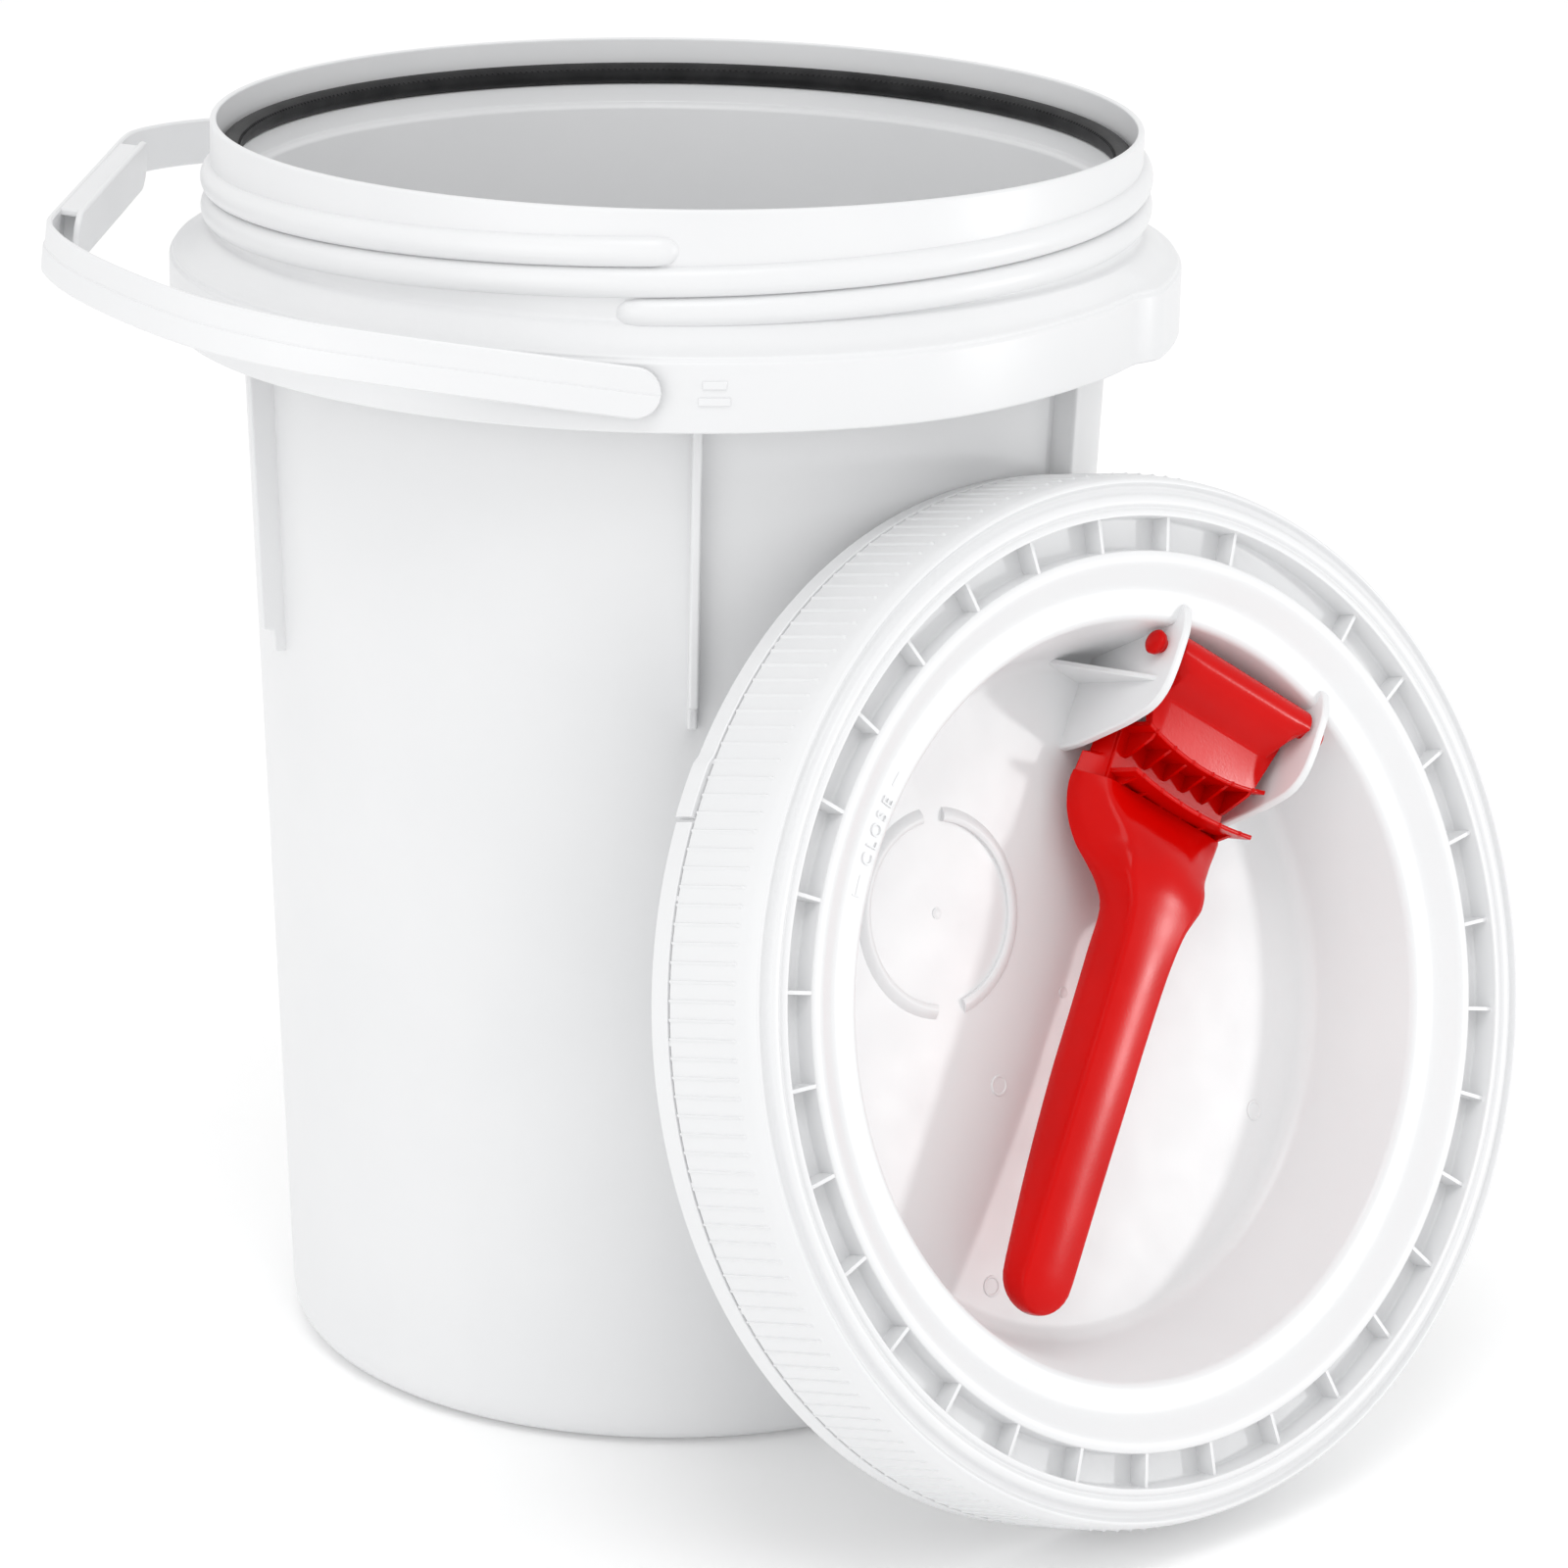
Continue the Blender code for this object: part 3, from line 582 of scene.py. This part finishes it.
def lid_profile():
    """From the middle of the well's floor, over the ledge and the pockets, down the skirt and back below."""
    inner, outer = POCKET_R
    wall = 0.0022
    return filleted(
        [
            (0, WELL_FLOOR_Z),
            (WELL_FLOOR_R, WELL_FLOOR_Z, 0.0050),
            (0.1213, LID_LEDGE_Z, 0.0022),
            (0.1314, -0.0064, 0.0022),
            (0.1392, -0.0018, 0.0022),
            (inner, -0.0018, 0.0007),
            (inner + 0.0004, POCKET_BOTTOM_Z, 0.0010),
            (outer - 0.0004, POCKET_BOTTOM_Z, 0.0010),
            (outer, 0.0, 0.0006),
            (0.1556, -0.0001, 0.0004),
            (0.1562, -0.0008, 0.0004),
            (0.1568, -0.0008, 0.0004),
            (0.1576, 0.0002, 0.0008),
            (0.1602, 0.0002, 0.0010),
            (0.1613, -0.0022, 0.0008),
            (0.1634, -0.0026, 0.0008),
            (0.1644, -0.0008, 0.0007),
            (0.1654, -0.0010, 0.0010),
            (0.1668, -0.0040, 0.0024),
            (0.1674, -0.0085, 0.0020),
            (SKIRT_R - 0.0003, SKIRT_BOTTOM_Z, 0.0004),
            (SKIRT_R - 0.0024, SKIRT_BOTTOM_Z, 0.0004),
            (0.1650, -0.0125, 0.0020),
            (0.1640, -0.0105, 0.0015),
            (0.1500, POCKET_BOTTOM_Z - wall, 0.0010),
            (0.1488, -0.0240, 0.0006),
            (0.1468, -0.0240, 0.0006),
            (0.1462, POCKET_BOTTOM_Z - wall, 0.0010),
            (inner - wall, POCKET_BOTTOM_Z - wall, 0.0010),
            (inner - wall, -0.0046, 0.0010),
            (0.1386, -0.0046, 0.0010),
            (0.1308, -0.0088, 0.0015),
            (0.1250, -0.0090, 0.0015),
            (WELL_FLOOR_R + 0.0026, WELL_FLOOR_Z - wall, 0.0050),
            (0, WELL_FLOOR_Z - wall),
        ],
        5,
    )


def lever_matrix():
    place = Matrix.Rotation(LEVER_AZIMUTH, 4, "Z") @ Matrix.Translation((PIN_S, 0, PIN_Z))
    return lid_matrix() @ place @ Matrix.Rotation(math.pi, 4, "Z")


def make_pocket_ribs(matrix):
    middle = sum(POCKET_R) / 2
    reach = (POCKET_R[1] - POCKET_R[0]) / 2 + 0.0004
    bm = bmesh.new()
    for i in range(POCKET_RIBS):
        if i == MISSING_RIB:
            continue
        low = (middle - reach, -0.0007, POCKET_BOTTOM_Z - 0.0006)
        rib = slab(low, (middle + reach, 0.0007, -0.0022), 0.0001)
        merge(bm, rib, Matrix.Rotation(RIB_START + math.tau * i / POCKET_RIBS, 4, "Z"))
    piece("pocket_ribs", bm, matrix, WHITE, "lid")


def make_knurling(matrix):
    """Fine upright grip ribs round the skirt, each fading into the shoulder."""
    bm = bmesh.new()
    shoulder, narrowing = -0.0085, 0.0013
    top, bottom = shoulder + 0.0001, SKIRT_BOTTOM_Z + 0.0002
    for i in range(KNURLS):
        sections = []
        for t, proud in ((0, 0.00045), (0.5, 0.00045), (0.93, 0.00035), (0.965, 0.00065), (1, 0.00005)):
            z = bottom + (top - bottom) * t
            surface = SKIRT_R - 0.0003 - narrowing * (z - SKIRT_BOTTOM_Z) / (shoulder - SKIRT_BOTTOM_Z)
            sections.append(
                [(surface - 0.0004, -0.00085, z), (surface + proud, -0.00035, z),
                 (surface + proud * 0.9, 0.00005, z), (surface - 0.0004, 0.0010, z)]
            )
        merge(bm, sweep(sections), Matrix.Rotation(math.tau * i / KNURLS, 4, "Z"))
    piece("skirt_knurling", bm, matrix, WHITE, "lid")


def bracket_outline():
    """Seen along the pin: (distance from the pin towards the lid's middle, height above the pin)."""
    return filleted(
        [
            (-0.0150, 0.0030), (-0.0140, 0.0052, 0.0010), (-0.0075, 0.0081, 0.0040), (0.0060, 0.0080, 0.0040),
            (0.0150, 0.0068, 0.0040), (0.0212, 0.0030, 0.0050), (0.0262, -0.0062, 0.0060),
            (0.0311, -0.0192, 0.0050), (0.0343, -0.0280, 0.0040),
            (0.0352, BRACKET_FLOOR), (-0.0010, BRACKET_FLOOR), (-0.0070, -0.0180),
        ],
        3,
    )


def make_brackets():
    """The two plates that hold the lever's pins, each with a gusset on its outer side."""
    lever = lever_matrix()
    for i, side in enumerate((-1, 1)):
        place = lever @ Matrix.Translation((0, side * BRACKET_Y, 0))
        soften(piece(f"bracket_{i}", plate(bracket_outline(), BRACKET_THICKNESS), place, WHITE, "lid"), 0.0007)
        inner, outer = side * (BRACKET_Y + 0.0004), side * (BRACKET_Y + 0.0170)
        triangle = [
            (inner, BRACKET_FLOOR), (outer, BRACKET_FLOOR), (outer, BRACKET_FLOOR + 0.0022), (inner, 0.0045)
        ]
        rib = sweep([[(x, y, z) for y, z in triangle] for x in (0.0102, 0.0122)])
        soften(piece(f"gusset_{i}", rib, lever, WHITE, "lid"), 0.0005)


def make_knock_out(matrix):
    """A raised ring with two gaps round the disc that is knocked out for an airlock, and the ejector marks."""
    inner, outer = KNOCK_OUT_R
    section = filleted(
        [(inner, -0.0006), (inner, 0.0012, 0.0004), (inner + 0.0016, 0.0016, 0.0008),
         (outer - 0.0012, 0.0012, 0.0012), (outer + 0.0006, -0.0001, 0.0008), (outer, -0.0006)],
        4,
    )
    place = matrix @ Matrix.Translation((*KNOCK_OUT_CENTRE, WELL_FLOOR_Z))
    steps = 90
    for i, (start, end) in enumerate(KNOCK_OUT_ARCS):
        sections = []
        for k in range(steps + 1):
            a = math.radians(start + (end - start) * k / steps)
            sections.append([(r * math.cos(a), r * math.sin(a), z) for r, z in section])
        soften(piece(f"knock_out_ring_{i}", sweep(sections), place, WHITE, "lid"), 0.0003)
    marks = bmesh.new()
    rim = filleted(
        [(0.0034, -0.0003), (0.0034, 0.00035, 0.0002), (0.0026, 0.00035, 0.0002), (0.0024, 0.0001), (0, 0.0001)], 2
    )
    for x, y in ((-0.0346, -0.0209), (-0.0503, -0.0829), (0.0749, -0.0539)):
        merge(marks, revolve(rim, 40), Matrix.Translation((x, y, WELL_FLOOR_Z)))
    small = filleted([(0.0018, -0.0003), (0.0018, 0.0003, 0.0002), (0, 0.0003)], 2)
    for x, y in ((-0.0018, 0.0025), (KNOCK_OUT_CENTRE[0] - 0.0008, KNOCK_OUT_CENTRE[1])):
        merge(marks, revolve(small, 24), Matrix.Translation((x, y, WELL_FLOOR_Z)))
    piece("ejector_marks", marks, matrix, WHITE, "lid")


def raised_letters(word, middle, matrix, body):
    """A word in raised letters along the ledge, tops outwards, read clockwise, on the line of an arrow."""
    radius, size, step = 0.1238, 0.0058, math.radians(2.20)
    for i, letter in enumerate(word):
        angle = math.radians(middle) - (i - (len(word) - 1) / 2) * step
        font = bpy.data.curves.new(f"{word.lower()}_letter_{i}", "FONT")
        font.body = letter
        font.size = size
        font.align_x = "CENTER"
        font.extrude = 0.0005
        font.offset = -0.00002
        font.materials.append(WHITE)
        obj = bpy.data.objects.new(f"{word.lower()}_letter_{i}", font)
        turn = Matrix.Rotation(angle - math.pi / 2, 4, "Z")
        obj.matrix_world = matrix @ turn @ Matrix.Translation((0, radius, LID_LEDGE_Z + 0.0001))
        bpy.context.scene.collection.objects.link(obj)
        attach(obj, body)
    arrow = bmesh.new()
    reach = (len(word) / 2 + 0.6) * step
    for low, high, inner, outer in (
        (reach, reach + 0.050, 0.1262, 0.1268),
        (reach + 0.050, reach + 0.054, 0.1248, 0.1280),
        (-reach - 0.040, -reach, 0.1262, 0.1268),
    ):
        section = [(inner, -0.0002), (outer, -0.0002), (outer, 0.0003), (inner, 0.0003)]
        sections = []
        for k in range(7):
            a = math.radians(middle) + low + (high - low) * k / 6
            sections.append([(r * math.cos(a), r * math.sin(a), LID_LEDGE_Z + z) for r, z in section])
        merge(arrow, sweep(sections))
    piece(f"{word.lower()}_arrow", arrow, matrix, WHITE, body)


def make_lid():
    matrix = lid_matrix()
    shell = piece("lid_shell", revolve(lid_profile()), matrix, WHITE, "lid")
    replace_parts(shell, "lid_cap")
    make_pocket_ribs(matrix)
    make_knurling(matrix)
    make_brackets()
    make_knock_out(matrix)
    raised_letters("CLOSE", 143.5, matrix, "lid")


def make_band():
    """The tear-off band below the skirt, with its bridges, and its pull tab beside the slit."""
    matrix = lid_matrix()
    outer, inner = SKIRT_R + 0.0002, SKIRT_R - 0.0020
    start, steps = TAB_AZIMUTH + math.radians(3.4), 360
    span = math.tau - BAND_SLIT
    sections = []
    for i in range(steps + 1):
        a = start + span * i / steps
        proud = 0.0009 if math.degrees(span) * (1 - i / steps) < TAB_SPAN else 0.0
        profile = (
            (outer + proud - 0.0003, BAND_TOP_Z), (outer + proud, BAND_TOP_Z - 0.0003),
            (outer + proud, BAND_BOTTOM_Z + 0.0003), (outer + proud - 0.0003, BAND_BOTTOM_Z),
            (inner, BAND_BOTTOM_Z), (inner, BAND_TOP_Z),
        )
        sections.append([(r * math.cos(a), r * math.sin(a), z) for r, z in profile])
    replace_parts(piece("tear_band", sweep(sections), matrix, WHITE, "lid"), "tamper_band")
    bridges = bmesh.new()
    low, high = (inner + 0.0002, -0.0008, BAND_TOP_Z - 0.0004), (outer - 0.0007, 0.0008, SKIRT_BOTTOM_Z + 0.0004)
    for i in range(BAND_BRIDGES):
        merge(bridges, slab(low, high), Matrix.Rotation(math.tau * (i + 0.5) / BAND_BRIDGES, 4, "Z"))
    piece("band_bridges", bridges, matrix, WHITE, "lid")


# ---- lever --------------------------------------------------------------------------------------------


def bar_stations():
    """Along the bar: (distance from the pin, crown height, crease half width and height, edge the same)."""
    rows = (
        (0.0420, -0.0150, 0.0256, -0.0155, 0.0345, -0.0255), (0.0455, -0.0128, 0.0250, -0.0148, 0.0343, -0.0262),
        (0.0500, -0.0095, 0.0232, -0.0130, 0.0332, -0.0265), (0.0550, -0.0058, 0.0203, -0.0098, 0.0316, -0.0260),
        (0.0600, -0.0033, 0.0180, -0.0070, 0.0296, -0.0245), (0.0650, -0.0022, 0.0172, -0.0042, 0.0270, -0.0222),
        (0.0700, -0.0018, 0.0168, -0.0032, 0.0225, -0.0195), (0.0750, -0.0018, 0.0146, -0.0026, 0.0180, -0.0176),
        (0.0820, -0.0018, 0.0122, -0.0024, 0.0140, -0.0168), (0.0960, -0.0020, 0.0108, -0.0027, 0.0127, -0.0180),
        (0.1180, -0.0022, 0.0104, -0.0029, 0.0123, -0.0180), (0.1400, -0.0022, 0.0104, -0.0029, 0.0122, -0.0178),
        (0.1700, -0.0022, 0.0104, -0.0030, 0.0122, -0.0158), (0.2000, -0.0020, 0.0103, -0.0028, 0.0121, -0.0126),
    )
    stations = [tuple(row) for row in smooth_path([Vector(row) for row in rows], 4)]
    middle, radius = 0.2020, 0.0121
    for degrees in (12, 24, 36, 47, 57, 66, 74, 81, 86):
        a = math.radians(degrees)
        drop = 0.0032 * (1 - math.cos(a))
        half = radius * math.cos(a)
        x = middle + radius * math.sin(a)
        stations.append((x, -0.0020 - drop, half * 0.85, -0.0028 - drop, half, -0.0122 + drop))
    return stations


def bar_section(x, crown, crease, crease_z, edge, edge_z):
    """A soft-cornered section: a crowned top, a rounded crease on each side, and walls that flare downwards."""
    wall = Vector((edge - crease, edge_z - crease_z))
    corner = Vector((crease, crease_z))
    side = [
        Vector((crease * 0.30, crown - (crown - crease_z) * 0.08)),
        Vector((crease * 0.62, crown - (crown - crease_z) * 0.40)),
        Vector((crease * 0.86, crown - (crown - crease_z) * 0.76)),
        corner + Vector((-crease * 0.03, (crown - crease_z) * 0.06)),
        corner + wall * 0.05 + Vector((0.0002, 0)),
        corner + wall * 0.14 + Vector((0.0004, 0)),
        corner + wall * 0.35 + Vector((0.0006, 0)),
        corner + wall * 0.65 + Vector((0.0005, 0)),
        corner + wall * 0.94,
        Vector((edge - min(0.0006, edge * 0.2), edge_z)),
    ]
    right = [(x, p.x, p.y) for p in side]
    left = [(x, -p.x, p.y) for p in reversed(side)]
    return [(x, 0, crown), *right, *left]


def bow(y):
    """How far a cross plate is bowed at y, from 0 at its ends to 1 in the middle."""
    return 1 - ((y - 0.0025) / 0.0285) ** 2


def barrel_section(y):
    """(x, y, z) points of the half-round barrel and of the flat web beyond it, which is narrower."""
    end = UPPER_COMB[0] + UPPER_COMB[1] * bow(y) + 0.0006
    outline = filleted(
        [
            (end, -0.0086), (0.0060, -0.0088, 0.0020), (-0.0020, -0.0074, 0.0040), (-0.0074, -0.0010, 0.0050),
            (-0.0050, 0.0058, 0.0040), (0.0020, 0.0066, 0.0040), (0.0080, 0.0024, 0.0060),
            (0.0125, -0.0046, 0.0008), (end, COMB_TOP),
        ],
        5,
    )
    narrow = abs(y) > WEB_HALF
    return [(x * 0.30 if narrow and x > 0 else x, y, z) for x, z in outline]


def comb(x, bowed, bottom):
    """A thin cross plate bowed towards the bar, running out to a point on one side."""
    thickness, steps = 0.0015, 24
    sections = []
    for i in range(steps + 1):
        y = COMB_START + (COMB_END - COMB_START) * i / steps
        middle = x + bowed * bow(y)
        runout = min(1, max(0, y - COMB_POINT_Y) / 0.0040)
        low = bottom + (COMB_TOP - 0.0020 - bottom) * runout
        shoulder = COMB_TOP - 0.0002
        sections.append(
            [(middle, y, low), (middle + thickness, y, low), (middle + thickness, y, shoulder),
             (middle + thickness * 0.7, y, COMB_TOP), (middle + thickness * 0.3, y, COMB_TOP),
             (middle, y, shoulder)]
        )
    return sweep(sections)


def make_combs(matrix):
    """Two bowed cross plates, the ribs beside them, and a nib where each rib meets a plate."""
    rib_places = [COMB_RIB_START + COMB_RIB_SPACING * i for i in range(COMB_RIBS)]
    for name, x, bowed in (("comb_upper", *UPPER_COMB), ("comb_lower", *LOWER_COMB)):
        piece(name, comb(x, bowed, -0.0200), matrix, RED, "lever")
        nibs = bmesh.new()
        for y in rib_places:
            nib_x = x + bowed * bow(y) + 0.0008
            nib = rod(0.0008, [(-0.0008, 0.75), (-0.0003, 1), (0.0003, 1), (0.0008, 0.75)])
            turned = Matrix.Translation((nib_x, y, -0.0057)) @ Matrix.Rotation(math.pi / 2, 4, "Z")
            merge(nibs, nib, turned)
        piece(f"{name}_nibs", nibs, matrix, RED, "lever")
    upper = [(0.0240, -0.0178), (0.0240, -0.0062), (0.0262, -0.0072), (0.0325, -0.0160), (0.0330, -0.0178)]
    lower = [(0.0395, -0.0178), (0.0395, -0.0070), (0.0424, -0.0158), (0.0424, -0.0178)]
    ribs = bmesh.new()
    for y in rib_places:
        for outline in (upper, lower):
            merge(ribs, plate(outline, 0.0011), Matrix.Translation((0, y, 0)))
    piece("lever_ribs", ribs, matrix, RED, "lever")


def make_lever():
    """The lever's bar, half-round barrel, low web, apron, combs and pins."""
    matrix = lever_matrix()
    bar = piece("lever_bar", sweep([bar_section(*s) for s in bar_stations()]), matrix, RED, "lever", sharp=50)
    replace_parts(bar, "lid_lever")
    places = [-BARREL_HALF, *(WEB_HALF * (i / 5 - 1) for i in range(11)), BARREL_HALF]
    sections = [barrel_section(y) for y in places]
    soften(piece("lever_barrel", sweep(sections), matrix, RED, "lever"), 0.0005)
    web = slab((0.0232, -0.0262, -0.0206), (0.0430, 0.0262, -0.0176))
    soften(piece("lever_low_web", web, matrix, RED, "lever"), 0.0004)
    apron = [
        bar_section(x, -0.0185, 0.0262, -0.0187, edge, -0.0252)
        for x, edge in ((0.0240, 0.0298), (0.0338, 0.0306), (0.0350, 0.0336), (0.0424, 0.0344))
    ]
    soften(piece("lever_apron", sweep(apron), matrix, RED, "lever"), 0.0005)
    make_combs(matrix)
    stations = (
        (BARREL_HALF - 0.0010, 1.0), (0.0352, 1.0), (0.0362, 1.05), (0.0372, 1.5), (0.0388, 1.62),
        (0.0394, 1.45), (0.0398, 0.9),
    )
    for i, side in enumerate((-1, 1)):
        pin = rod(PIN_R, [(side * y, f) for y, f in stations])
        piece(f"lever_pin_{i}", pin, matrix, RED, "lever", sharp=50)


# ---- stage --------------------------------------------------------------------------------------------


def make_stage():
    """A white floor in a white surround, with a small key low on the right, a wide fill and a lamp above."""
    floor_mesh = bpy.data.meshes.new("floor")
    reach = 30.0
    floor_mesh.from_pydata(
        [(-reach, -reach, 0), (reach, -reach, 0), (reach, reach, 0), (-reach, reach, 0)], [], [(0, 1, 2, 3)]
    )
    floor = bpy.data.objects.new("floor", floor_mesh)
    floor.location.z = -0.0002
    bpy.context.scene.collection.objects.link(floor)
    material = bpy.data.materials.new("floor_paper")
    material.use_nodes = True
    shader = material.node_tree.nodes["Principled BSDF"]
    shader.inputs["Base Color"].default_value = (0.95, 0.95, 0.95, 1)
    shader.inputs["Roughness"].default_value = 0.9
    shader.inputs["Emission Color"].default_value = (1, 1, 1, 1)
    shader.inputs["Emission Strength"].default_value = 0.10  # keeps the far floor from greying
    floor_mesh.materials.append(material)

    bpy.context.scene.world = studio_world()
    for name, place, size, power in (
        ("key", (2.14, -0.32, 0.20), 0.17, 5.0),
        ("fill", (-1.4, -2.3, 0.7), 1.8, 8),
        ("top", (0.1, -1.3, 2.4), 1.2, 11.5),
    ):
        data = bpy.data.lights.new(name, "AREA")
        data.shape = "DISK"
        data.size = size
        data.energy = power
        light = bpy.data.objects.new(name, data)
        aim = Vector((0.05, -0.05, 0.2)) - Vector(place)
        light.matrix_world = Matrix.Translation(place) @ aim.to_track_quat("-Z", "Y").to_matrix().to_4x4()
        bpy.context.scene.collection.objects.link(light)


def studio_world():
    """A plain white surround that lights the object a little less than it shows."""
    world = bpy.data.worlds.new("studio")
    world.use_nodes = True
    nodes, links = world.node_tree.nodes, world.node_tree.links
    rays = nodes.new("ShaderNodeLightPath")
    strength = nodes.new("ShaderNodeMapRange")
    strength.inputs["To Min"].default_value = 0.93
    strength.inputs["To Max"].default_value = 1.02
    links.new(rays.outputs["Is Camera Ray"], strength.inputs["Value"])
    links.new(strength.outputs["Result"], nodes["Background"].inputs["Strength"])
    nodes["Background"].inputs["Color"].default_value = (1, 1, 1, 1)
    return world


def make_camera():
    data = bpy.data.cameras.new("camera")
    data.sensor_width = 36
    data.lens = 123.96
    data.clip_end = 100
    camera = bpy.data.objects.new("camera", data)
    pitch, roll = 0.3068, 0.0189
    camera.matrix_world = (
        Matrix.Translation((0.0394, -1.7789, 0.7553))
        @ Matrix.Rotation(math.pi / 2 - pitch, 4, "X")
        @ Matrix.Rotation(roll, 4, "Z")
    )
    bpy.context.scene.collection.objects.link(camera)
    bpy.context.scene.camera = camera


make_pail()
make_gasket()
make_bail()
make_lid()
make_band()
make_lever()
make_stage()
make_camera()
bpy.context.scene.view_settings.view_transform = "Standard"
